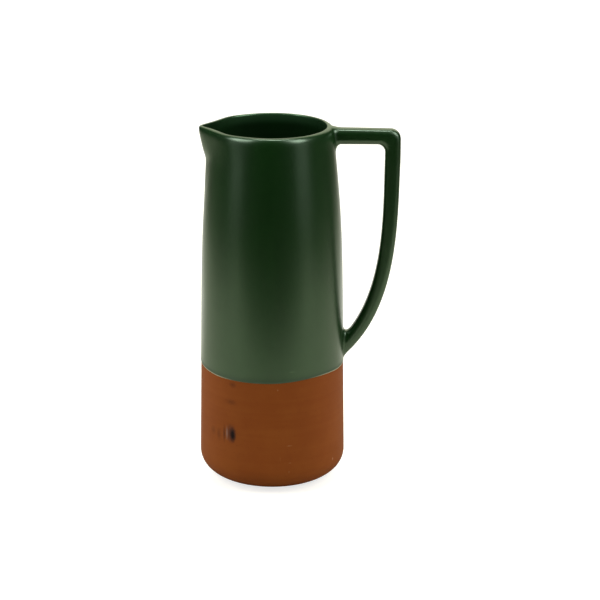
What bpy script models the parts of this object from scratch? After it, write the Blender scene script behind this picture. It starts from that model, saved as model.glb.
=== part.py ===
"""Tall terracotta pitcher: a clay vessel with a pulled spout, a luted D handle and a dipped glaze.

Metres, +Z up. The origin is the centre of the base, on the axis of the vessel. The spout points
along -X, and the handle stands out along +X.
"""
import math

import bmesh
import bpy
from mathutils import Vector

# The clay vessel. Its wall tapers a little all the way up and curls in towards the rim.
BODY_HEIGHT = 0.248
BASE_RADIUS = 0.0502
RIM_RADIUS = 0.0409
WALL_TAPER = 0.0044
CURL_POWER = 5.0
FOOT_ROUND_HEIGHT = 0.0165
FOOT_ROUND_WIDTH = 0.023
WALL_AT_FOOT = 0.0045
WALL_AT_RIM = 0.0034
FLOOR_THICKNESS = 0.0055
FLOOR_ROUND = 0.010
RIM_ROUND_HEIGHT = 0.003
RIM_INNER_ROUND = 0.0008

# The spout, pulled out of the rim: two flat flanks tangent to the wall, meeting in a rounded nose.
# The reach is measured to the sharp edge where the flanks would meet.
SPOUT_REACH = 0.0116
SPOUT_DEPTH = 0.029
SPOUT_TOE = 0.1
SPOUT_THINNING = 0.0016
SPOUT_NOSE_ANGLE = math.radians(5.0)

# The handle: a bar that leaves the wall under the rim, a square corner, and an arm that sweeps back.
# The finger gap is measured at the top of the arm, from the widest part of the wall.
FINGER_GAP = 0.0269
HANDLE_WIDTH = 0.0090
HANDLE_EDGE = 0.0025
HANDLE_BEND = 0.0062
BAR_TOP_DROP = 0.0017
BAR_THICKNESS = 0.0090
ARM_THICKNESS = 0.0092
ARM_FOOT_THICKNESS = 0.0080
ARM_FOOT_HEIGHT = 0.0878
ARM_FOOT_ANGLE = math.radians(40.4)
ARM_FOOT_PULL = 0.051
ARM_TOP_LEAN = math.radians(1.9)
ARM_TOP_PULL = 0.041

# The luting slip between handle and wall: a pad under the end and a fillet around it.
SLIP_PAD = 0.0005
SLIP_LIP = 0.0002
JOINT_FILLET = 0.0013
FILLET_LENGTH = 0.0035

# The glaze, and the clearance that every two touching layers keep.
DIP_HEIGHT = 0.0814
GLAZE_THICKNESS = 0.0004
GLAZE_FADE = 0.003
CLEARANCE = 0.0003

# How finely the curves are divided.
TURN_STEPS = 48
SPOUT_GATHER = 0.3
WALL_ROWS = 5
SPOUT_ROWS = 4
RIM_STEPS = 3
FOOT_STEPS = 5
FILLET_STEPS = 5
BEND_STEPS = 5
ARM_STEPS = 10
ARM_FOOT_STEPS = 16
ARM_FOOT_SHARE = 0.16
EDGE_STEPS = 3
SHARP_EDGE = math.radians(40.0)
MERGE_DISTANCE = 1e-6

# The handle's cross-sections that lie by each joint, counted from its two ends.
UPPER_JOINT_SECTIONS = FILLET_STEPS + 3
LOWER_JOINT_SECTIONS = ARM_FOOT_STEPS + 1

# Colours in linear light, and how rough each surface is.
TERRACOTTA = (0.27, 0.085, 0.028)
SLIP_CLAY = (0.30, 0.105, 0.040)
GREEN = (0.010, 0.034, 0.012)
DARK_GREEN = (0.008, 0.026, 0.010)
CLAY_ROUGHNESS = 0.75
SLIP_ROUGHNESS = 0.8
GLAZE_ROUGHNESS = 0.42
LINING_ROUGHNESS = 0.3


def blend(start, end, share):
    return start + (end - start) * share


def shares(steps):
    """Even shares from 0 to 1."""
    return [step / steps for step in range(steps + 1)]


def wall_share(z):
    """Height up the wall, 0 above the rounded foot and 1 at the rim."""
    return max((z - FOOT_ROUND_HEIGHT) / (BODY_HEIGHT - FOOT_ROUND_HEIGHT), 0.0)


def wall_radius(z):
    share = wall_share(z)
    curl = BASE_RADIUS - WALL_TAPER - RIM_RADIUS
    return BASE_RADIUS - WALL_TAPER * share - curl * share ** CURL_POWER


def wall_thickness(z):
    return blend(WALL_AT_FOOT, WALL_AT_RIM, min(wall_share(z), 1.0))


def inner_radius(z):
    return wall_radius(z) - wall_thickness(z)


def crest_radius():
    """Where the rim is highest: its inner edge is rounded less than its outer one."""
    return inner_radius(BODY_HEIGHT - RIM_INNER_ROUND) + RIM_INNER_ROUND


def ellipse(centre, size, start, end, steps):
    """Points (r, z) of an elliptical round, from one angle to another in degrees."""
    angles = [math.radians(blend(start, end, share)) for share in shares(steps)]
    return [(centre[0] + size[0] * math.cos(a), centre[1] + size[1] * math.sin(a)) for a in angles]


def wall_heights(top, bottom):
    """Rows of the wall from top to bottom, closer together where the spout is pulled out.

    Every layer has the same rows down to its own end, so that the layers lie evenly on each other."""
    throat = BODY_HEIGHT - SPOUT_DEPTH
    spout = [blend(top, throat, share) for share in shares(SPOUT_ROWS)]
    spacing = (throat - FOOT_ROUND_HEIGHT) / WALL_ROWS
    below = [throat - spacing * row for row in range(1, WALL_ROWS)]
    return spout + [z for z in below if z > bottom + spacing / 4] + [bottom]


def outer_profile(grow, bottom):
    """Outer side from the crest of the rim down to a height, with the surface moved out by grow."""
    shoulder = BODY_HEIGHT - RIM_ROUND_HEIGHT
    size = (wall_radius(shoulder) - crest_radius() + grow, RIM_ROUND_HEIGHT + grow)
    rim = ellipse((crest_radius(), shoulder), size, 90, 0, RIM_STEPS)
    wall = [(wall_radius(z) + grow, z) for z in wall_heights(shoulder, bottom)]
    return rim + wall[1:]


def foot_profile(grow):
    """Rounded foot and flat base, from the wall in to the axis, with the surface moved out by grow."""
    centre = (BASE_RADIUS - FOOT_ROUND_WIDTH, FOOT_ROUND_HEIGHT)
    size = (FOOT_ROUND_WIDTH + grow, FOOT_ROUND_HEIGHT + grow)
    return ellipse(centre, size, 0, -90, FOOT_STEPS) + [(0.0, -grow)]


def inner_profile(grow, edge):
    """Inner side from the rim, at a given edge radius, down to the middle of the floor.

    The surface is moved in by grow, away from the clay."""
    lip = BODY_HEIGHT - RIM_INNER_ROUND
    size = (edge - inner_radius(lip) + grow, RIM_INNER_ROUND + grow)
    rim = ellipse((edge, lip), size, 90, 180, RIM_STEPS)
    heel = FLOOR_THICKNESS + FLOOR_ROUND
    wall = [(inner_radius(z) - grow, z) for z in wall_heights(lip, heel)]
    centre = (inner_radius(heel) - FLOOR_ROUND, heel)
    floor = ellipse(centre, (FLOOR_ROUND - grow, FLOOR_ROUND - grow), 0, -90, FOOT_STEPS)
    return rim + wall[1:] + floor[1:] + [(0.0, FLOOR_THICKNESS + grow)]


def pulled(point):
    """Where a point of the turned vessel goes when the spout is pulled out of the rim.

    In plan the wall becomes a circle with two tangents that meet on the -X side. The pull is
    strongest at the rim and dies out down the throat, and it thins the wall a little."""
    radius = math.hypot(point.x, point.y)
    angle = math.atan2(point.y, -point.x)
    angle -= SPOUT_GATHER * math.sin(angle)
    share = max(1.0 - (BODY_HEIGHT - point.z) / SPOUT_DEPTH, 0.0)
    pull = share * share / (share + SPOUT_TOE) * (1.0 + SPOUT_TOE)
    into_wall = (wall_radius(point.z) - radius) / wall_thickness(point.z)
    reach = pull * (SPOUT_REACH + SPOUT_THINNING * min(max(into_wall, 0.0), 1.0))
    if radius > MERGE_DISTANCE:
        tangent = math.acos(radius / (radius + reach))
        off_nose = math.hypot(angle, SPOUT_NOSE_ANGLE)
        radius /= math.cos(max(tangent - off_nose, 0.0))
    return Vector((-radius * math.cos(angle), radius * math.sin(angle), point.z))


def finish(name, mesh, collection):
    """Object in a collection, shaded smooth but for its real edges."""
    mesh.name = name
    mesh.shade_smooth()
    mesh.set_sharp_from_angle(angle=SHARP_EDGE)
    obj = bpy.data.objects.new(name, mesh)
    collection.objects.link(obj)
    return obj


def turned(name, profile, collection, closed=False):
    """Body of revolution about Z from a profile (r, z), with the spout pulled out of it."""
    count = len(profile)
    edges = [(i, i + 1) for i in range(count - 1)]
    if closed:
        edges.append((count - 1, 0))
    sketch = bpy.data.meshes.new(name + "_profile")
    sketch.from_pydata([(r, 0.0, z) for r, z in profile], edges, [])
    wheel = bpy.data.objects.new(name + "_profile", sketch)
    collection.objects.link(wheel)
    screw = wheel.modifiers.new("Turn", "SCREW")
    screw.axis = "Z"
    screw.steps = TURN_STEPS
    screw.render_steps = TURN_STEPS
    screw.use_merge_vertices = True
    screw.merge_threshold = MERGE_DISTANCE
    mesh = bpy.data.meshes.new_from_object(wheel.evaluated_get(bpy.context.evaluated_depsgraph_get()))
    bpy.data.objects.remove(wheel)
    form = bmesh.new()
    form.from_mesh(mesh)
    bmesh.ops.remove_doubles(form, verts=form.verts, dist=MERGE_DISTANCE)
    for vert in form.verts:
        vert.co = pulled(vert.co)
    bmesh.ops.recalc_face_normals(form, faces=form.faces)
    form.to_mesh(mesh)
    form.free()
    return finish(name, mesh, collection)


def vessel_core(name, grow, collection):
    """The vessel as a filled solid, grown by a distance, for trimming what sits against its wall."""
    top = [(0.0, BODY_HEIGHT + grow)]
    profile = top + outer_profile(grow, FOOT_ROUND_HEIGHT) + foot_profile(grow)[1:]
    return turned(name, profile, collection)


def bezier(points, share):
    rest = 1.0 - share
    weights = (rest ** 3, 3 * rest ** 2 * share, 3 * rest * share ** 2, share ** 3)
    return sum((p * w for p, w in zip(points, weights)), Vector((0.0, 0.0)))


def bezier_direction(points, share):
    rest = 1.0 - share
    legs = [end - start for start, end in zip(points, points[1:])]
    weights = (rest ** 2, 2 * rest * share, share ** 2)
    return sum((leg * w for leg, w in zip(legs, weights)), Vector((0.0, 0.0))).normalized()


def handle_reach():
    """Distance from the axis of the vessel to the back of the arm."""
    return BASE_RADIUS + FINGER_GAP + ARM_THICKNESS


def handle_stations():
    """Cross-sections of the handle from the upper wall to the lower one, ends inside the wall.

    Each is its finger side and its back, as points (x, z), and the handle's thickness there."""
    bar_top = BODY_HEIGHT - BAR_TOP_DROP
    under = bar_top - BAR_THICKNESS
    finger_x = handle_reach() - ARM_THICKNESS
    stations = []
    for x in bar_places(under, finger_x - HANDLE_BEND - BAR_THICKNESS / 2):
        stations.append((Vector((x, under)), Vector((x, bar_top)), BAR_THICKNESS))
    finger_centre = Vector((finger_x - HANDLE_BEND, under - HANDLE_BEND))
    back_centre = Vector((handle_reach() - HANDLE_BEND, bar_top - HANDLE_BEND))
    for share in shares(BEND_STEPS):
        turn = math.radians(blend(90, 0, share))
        arc = HANDLE_BEND * Vector((math.cos(turn), math.sin(turn)))
        thickness = blend(BAR_THICKNESS, ARM_THICKNESS, share)
        stations.append((finger_centre + arc, back_centre + arc, thickness))
    path = arm_path(finger_x + ARM_THICKNESS / 2, under - HANDLE_BEND - ARM_THICKNESS / 2)
    upper = [share * (1.0 - ARM_FOOT_SHARE) for share in shares(ARM_STEPS)]
    foot = [1.0 - ARM_FOOT_SHARE * share for share in shares(ARM_FOOT_STEPS)]
    for share in upper[:-1] + foot[::-1]:
        centre = bezier(path, share)
        along = bezier_direction(path, share)
        back = Vector((-along.y, along.x))
        thickness = blend(ARM_THICKNESS, ARM_FOOT_THICKNESS, share)
        stations.append((centre - back * thickness / 2, centre + back * thickness / 2, thickness))
    return stations


def bar_places(z, end):
    """Where the bar is cut across: inside the wall, closely along the fillet, and where it bends."""
    wall = wall_radius(z)
    along_fillet = [wall + FILLET_LENGTH * share ** 2 for share in shares(FILLET_STEPS)]
    bare = wall + FILLET_LENGTH + CLEARANCE + GLAZE_FADE
    return [inner_radius(z)] + along_fillet + [bare, end]


def arm_path(x, top):
    """Bezier points (x, z) of the arm's middle line, from under the corner to inside the lower wall."""
    start = Vector((x, top))
    end = Vector((inner_radius(ARM_FOOT_HEIGHT), ARM_FOOT_HEIGHT))
    down = Vector((-math.sin(ARM_TOP_LEAN), -math.cos(ARM_TOP_LEAN)))
    rise = Vector((math.cos(ARM_FOOT_ANGLE), math.sin(ARM_FOOT_ANGLE)))
    return start, start + down * ARM_TOP_PULL, end + rise * ARM_FOOT_PULL, end


def section_ring(station, grow):
    """Rounded rectangle across the handle, each point moved out by grow of its distance to the wall."""
    finger, back, thickness = station
    middle = (finger + back) / 2
    skewed = (back - finger) / thickness
    side = HANDLE_WIDTH / 2 - HANDLE_EDGE
    ring = []
    for corner, (sign_back, sign_side) in enumerate(((1, 1), (-1, 1), (-1, -1), (1, -1))):
        centre = middle + skewed * sign_back * (thickness / 2 - HANDLE_EDGE)
        for share in shares(EDGE_STEPS):
            turn = math.radians(90 * (corner + share))
            outward = Vector((skewed.x * math.cos(turn), math.sin(turn), skewed.y * math.cos(turn)))
            bare = Vector((centre.x, side * sign_side, centre.y)) + outward * HANDLE_EDGE
            from_wall = math.hypot(bare.x, bare.y) - wall_radius(bare.z)
            ring.append(bare + outward * grow(from_wall))
    return ring


def lofted(name, stations, grow, collection):
    """Closed loft through the handle's cross-sections."""
    form = bmesh.new()
    rings = [[form.verts.new(point) for point in section_ring(s, grow)] for s in stations]
    for near, far in zip(rings, rings[1:]):
        for i in range(len(near)):
            j = (i + 1) % len(near)
            form.faces.new((near[i], near[j], far[j], far[i]))
    form.faces.new(rings[0])
    form.faces.new(rings[-1])
    bmesh.ops.recalc_face_normals(form, faces=form.faces)
    mesh = bpy.data.meshes.new(name)
    form.to_mesh(mesh)
    form.free()
    return finish(name, mesh, collection)


def bare_clay(from_wall):
    return 0.0


def slip_seat(from_wall):
    """Room that the slip leaves for the handle."""
    return CLEARANCE


def fillet(from_wall):
    """How far the slip's fillet stands out, at a distance from the wall: a concave quarter round."""
    height = min(JOINT_FILLET, BAR_TOP_DROP - CLEARANCE - SLIP_LIP)
    short = min(max(1.0 - from_wall / FILLET_LENGTH, 0.0), 1.0)
    return height * (1.0 - math.sqrt(1.0 - short * short))


def slip_outside(from_wall):
    return CLEARANCE + SLIP_LIP + fillet(from_wall)


def coat_inside(from_wall):
    """The coat clears the slip near the wall and closes in on the bare handle beyond it."""
    past_slip = (from_wall - FILLET_LENGTH - CLEARANCE) / GLAZE_FADE
    over_slip = 1.0 - min(max(past_slip, 0.0), 1.0)
    return CLEARANCE + fillet(from_wall) + (SLIP_LIP + CLEARANCE) * over_slip


def coat_outside(from_wall):
    return coat_inside(from_wall) + GLAZE_THICKNESS


def combine(obj, operation, other):
    """Boolean of an object with another one, which is kept as a hidden construction body."""
    other.hide_render = True
    other.display_type = "WIRE"
    boolean = obj.modifiers.new(operation.title(), "BOOLEAN")
    boolean.operation = operation
    boolean.solver = "EXACT"
    boolean.object = other


def paint(obj, colour, roughness):
    """Own Principled material of a piece. Nothing on it is metal."""
    material = bpy.data.materials.new(obj.name)
    material.use_nodes = True
    shader = material.node_tree.nodes["Principled BSDF"]
    shader.inputs["Base Color"].default_value = (*colour, 1.0)
    shader.inputs["Roughness"].default_value = roughness
    shader.inputs["Metallic"].default_value = 0.0
    obj.data.materials.clear()
    obj.data.materials.append(material)


def make_vessel(parts):
    """Clay vessel: up the inside from the floor, over the rim, down the outside and under the base."""
    inside = inner_profile(0.0, crest_radius())
    outside = outer_profile(0.0, FOOT_ROUND_HEIGHT)
    profile = inside[::-1] + outside[1:] + foot_profile(0.0)[1:]
    return turned("vessel_body", profile, parts)


def make_handle(parts, cutters):
    """Clay handle, its ends cut to the wall with room for the slip."""
    handle = lofted("handle", handle_stations(), bare_clay, parts)
    wall = vessel_core("handle_end_cut", CLEARANCE + SLIP_PAD + CLEARANCE, cutters)
    combine(handle, "DIFFERENCE", wall)
    return handle


def make_joint_slip(name, stations, parts, cutters):
    """Slip at one end of the handle: a pad against the wall and a fillet around the clay."""
    slip = lofted(name, stations, slip_outside, parts)
    combine(slip, "INTERSECT", vessel_core(name + "_reach", FILLET_LENGTH, cutters))
    combine(slip, "DIFFERENCE", vessel_core(name + "_wall", CLEARANCE, cutters))
    socket = lofted(name + "_socket", stations, slip_seat, cutters)
    combine(socket, "DIFFERENCE", vessel_core(name + "_pad", CLEARANCE + SLIP_PAD, cutters))
    combine(slip, "DIFFERENCE", socket)
    return slip


def make_outer_glaze(parts, cutters):
    """One dipped coat: a shell round the wall that runs out over the fillets and the handle."""
    inside = outer_profile(CLEARANCE, DIP_HEIGHT)
    outside = outer_profile(CLEARANCE + GLAZE_THICKNESS, DIP_HEIGHT)
    coat = turned("outer_glaze", outside + inside[::-1], parts, closed=True)
    sleeve = lofted("glaze_sleeve", handle_stations(), coat_outside, cutters)
    wall = vessel_core("sleeve_end_cut", CLEARANCE + GLAZE_THICKNESS / 2, cutters)
    combine(sleeve, "DIFFERENCE", wall)
    bpy.ops.mesh.primitive_cube_add(size=1.0, location=(0.0, 0.0, DIP_HEIGHT / 2))
    bare = bpy.context.object
    bare.name = "below_dip_line"
    bare.dimensions = (4 * handle_reach(), 4 * handle_reach(), DIP_HEIGHT)
    bpy.context.collection.objects.unlink(bare)
    cutters.objects.link(bare)
    combine(sleeve, "DIFFERENCE", bare)
    combine(coat, "UNION", sleeve)
    combine(coat, "DIFFERENCE", lofted("glaze_bore", handle_stations(), coat_inside, cutters))
    return coat


def make_inner_glaze(parts):
    """Poured lining, from the floor up to the crest of the rim, where it meets the outer coat."""
    edge = crest_radius() - CLEARANCE
    clay_side = inner_profile(CLEARANCE, edge)
    face = inner_profile(CLEARANCE + GLAZE_THICKNESS, edge)
    return turned("inner_glaze", face[::-1] + clay_side, parts)


for old in list(bpy.data.objects):
    bpy.data.objects.remove(old)
pitcher = bpy.data.collections.new("terracotta_pitcher")
construction = bpy.data.collections.new("pitcher_construction")
for group in (pitcher, construction):
    bpy.context.scene.collection.children.link(group)

paint(make_vessel(pitcher), TERRACOTTA, CLAY_ROUGHNESS)
paint(make_handle(pitcher, construction), TERRACOTTA, CLAY_ROUGHNESS)
for joint, sections in (("upper_joint_slip", handle_stations()[:UPPER_JOINT_SECTIONS]),
                        ("lower_joint_slip", handle_stations()[-LOWER_JOINT_SECTIONS:])):
    paint(make_joint_slip(joint, sections, pitcher, construction), SLIP_CLAY, SLIP_ROUGHNESS)
paint(make_outer_glaze(pitcher, construction), GREEN, GLAZE_ROUGHNESS)
paint(make_inner_glaze(pitcher), DARK_GREEN, LINING_ROUGHNESS)
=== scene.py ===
import math

import bmesh
import bpy
import numpy as np
from mathutils import Matrix, Vector


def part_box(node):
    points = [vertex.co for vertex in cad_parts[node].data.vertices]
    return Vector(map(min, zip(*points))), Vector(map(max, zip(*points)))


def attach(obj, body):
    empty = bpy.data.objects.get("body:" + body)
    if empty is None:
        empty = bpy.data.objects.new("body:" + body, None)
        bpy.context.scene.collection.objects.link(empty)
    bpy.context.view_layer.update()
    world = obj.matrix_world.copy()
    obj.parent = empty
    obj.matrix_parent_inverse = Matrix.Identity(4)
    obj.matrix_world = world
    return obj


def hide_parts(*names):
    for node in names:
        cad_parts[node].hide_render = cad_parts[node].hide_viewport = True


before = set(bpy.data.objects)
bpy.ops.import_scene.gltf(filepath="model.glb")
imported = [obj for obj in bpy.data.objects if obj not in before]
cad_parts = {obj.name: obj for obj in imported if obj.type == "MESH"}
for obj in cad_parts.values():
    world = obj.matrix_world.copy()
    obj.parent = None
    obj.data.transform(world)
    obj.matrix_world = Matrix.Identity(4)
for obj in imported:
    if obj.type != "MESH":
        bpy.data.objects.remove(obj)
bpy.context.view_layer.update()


# The vessel is one lump of red earthenware, thrown on the wheel. Its spout was pulled out of the wet
# rim between finger and thumb. The fired clay stays bare below the dip line, where it is matt, a
# little banded by the throwing, and has a few kiln and handling marks.
clay_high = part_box("vessel_body")[1]
coat_low, coat_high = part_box("outer_glaze")
RIM_HEIGHT = coat_high.z
BASE_RADIUS = clay_high.y
FOOT_HEIGHT = 0.018
FOOT_WIDTH = 0.025
FOOT_FULLNESS = 2.13
WALL_SLOPE = 0.0146
NECK_HEIGHT = 0.184
NECK_SLOPE = 0.0885
NECK_SOFTNESS = 0.016
RIM_LEAN = -WALL_SLOPE - NECK_SLOPE
WALL_AT_FOOT = 0.0046
WALL_AT_RIM = 0.0039
FLOOR_THICKNESS = 0.0055
HEEL_ROUND = 0.010
INSIDE_ROWS = 72
INSIDE_CROWDING = 1.5
RIM_DROP = 0.0060
RIM_TOP_PULL = 0.0021
RIM_SIDE_PULL = 0.0057
RIM_INNER_WIDTH = 0.00035
RIM_INNER_DROP = 0.0014
RIM_INNER_PULLS = (0.0002, 0.0008)
RIM_STEPS = 10
RIM_FINENESS = 40
HEEL_STEPS = 10
FOOT_STEPS = 24
WALL_ROWS = 60
TO_AXIS = (0.66, 0.33, 0.0)
WHEEL_STEPS = 192
SEAM_GAP = 1e-6
THROWN_FORM = {
    "Rim Height": RIM_HEIGHT,
    "Rim Tilt": 0.012,
    "Tilt Start": 0.20,
    "Throat Start": 0.197,
    "Throat Slope": 0.040,
    "Throat Softness": 0.004,
    "Fold Start": 0.2268,
    "Fold Slope": 0.50,
    "Fold Softness": 0.0010,
    "Lip Start": 0.2303,
    "Lip Slope": -0.23,
    "Lip Softness": 0.0018,
    "Spout Thinning": 0.12,
    "Nose Outside": math.radians(5.0),
    "Nose Inside": math.radians(1.2),
    "Flank Fullness": 18.0,
    "Flank Middle": math.radians(40),
    "Flank Width": math.radians(28),
    "Gather": 0.3,
}


def eased(length, softness):
    """A ramp that is flat below 0 and straight above it, with a soft bend between."""
    return softness * np.logaddexp(0.0, length / softness)


def wall_radius(z):
    """Outside of the clay: a slow taper, drawn in more above the neck."""
    taper = WALL_SLOPE * np.maximum(z - FOOT_HEIGHT, 0.0)
    return BASE_RADIUS - taper - NECK_SLOPE * eased(z - NECK_HEIGHT, NECK_SOFTNESS)


def inner_radius(z):
    share = (z - FOOT_HEIGHT) / (RIM_HEIGHT - FOOT_HEIGHT)
    return wall_radius(z) - WALL_AT_FOOT - (WALL_AT_RIM - WALL_AT_FOOT) * share


def rounded(centre, size, start, end, steps, fullness=2.0):
    """Points (r, z) of an elliptical round between two angles in degrees. Above 2 it is fuller."""
    angles = np.radians(np.linspace(start, end, steps + 1))
    way = np.stack((np.cos(angles), np.sin(angles)))
    across, up = np.sign(way) * np.abs(way) ** (2 / fullness)
    return [(centre[0] + size[0] * a, centre[1] + size[1] * u) for a, u in zip(across, up)]


def bezier(points, shares):
    """Points of a cubic Bezier at some shares. Its four control points may be rows of points."""
    rest = 1.0 - shares
    weights = np.stack((rest ** 3, 3 * rest ** 2 * shares, 3 * rest * shares ** 2, shares ** 3))
    return np.tensordot(weights, np.array(points), (0, 0))


def rim_side(end, lean, pulls, coat, steps):
    """One side of the rim as points (r, z), from its level crest down to a wall with some lean.

    The pulls say how far it stays level at the crest and upright at the wall."""
    crest = np.array((crest_radius(), RIM_HEIGHT))
    outwards = math.copysign(1.0, end[0] - crest[0])
    control = (crest, crest + (outwards * pulls[0], 0.0), np.array(end) + (lean * pulls[1], pulls[1]), end)
    shares = np.linspace(0.0, 1.0, steps + 1)
    fine = bezier(control, np.linspace(0.0, 1.0, RIM_FINENESS * steps + 1))
    along = np.gradient(fine, axis=0)[::RIM_FINENESS]
    facing = outwards * np.stack((-along[:, 1], along[:, 0]), 1)
    facing /= np.linalg.norm(facing, axis=1)[:, None]
    return list(map(tuple, bezier(control, shares) + coat * facing))


def crest_radius():
    return inner_radius(RIM_HEIGHT - RIM_INNER_DROP) + RIM_INNER_WIDTH


def rim_round(coat, steps):
    """Outer side of the rim, from its crest to the wall, under a coat of some thickness."""
    end = (wall_radius(RIM_HEIGHT - RIM_DROP), RIM_HEIGHT - RIM_DROP)
    return rim_side(end, RIM_LEAN, (RIM_TOP_PULL, RIM_SIDE_PULL), coat, steps)


def inner_line(coat):
    """Inside from the crest of the rim down the wall and over the floor to the axis."""
    lip = RIM_HEIGHT - RIM_INNER_DROP
    heel = FLOOR_THICKNESS + HEEL_ROUND
    crest = rim_side((inner_radius(lip), lip), RIM_LEAN, RIM_INNER_PULLS, coat, RIM_STEPS)
    heights = lip + (heel - lip) * np.linspace(0.0, 1.0, INSIDE_ROWS) ** INSIDE_CROWDING
    wall = [(inner_radius(z) - coat, z) for z in heights]
    corner = (inner_radius(heel) - HEEL_ROUND, heel)
    floor = rounded(corner, (HEEL_ROUND - coat, HEEL_ROUND - coat), 0, -90, HEEL_STEPS)
    middle = [(floor[-1][0] * share, floor[-1][1]) for share in TO_AXIS]
    return crest + wall[1:] + floor[1:] + middle


def calc(tree, operation, *values):
    """Math node in a tree, fed by sockets and plain numbers."""
    node = tree.nodes.new("ShaderNodeMath")
    node.operation = operation
    for socket, value in zip(node.inputs, values):
        if isinstance(value, bpy.types.NodeSocket):
            tree.links.new(value, socket)
        else:
            socket.default_value = value
    return node.outputs[0]


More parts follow.
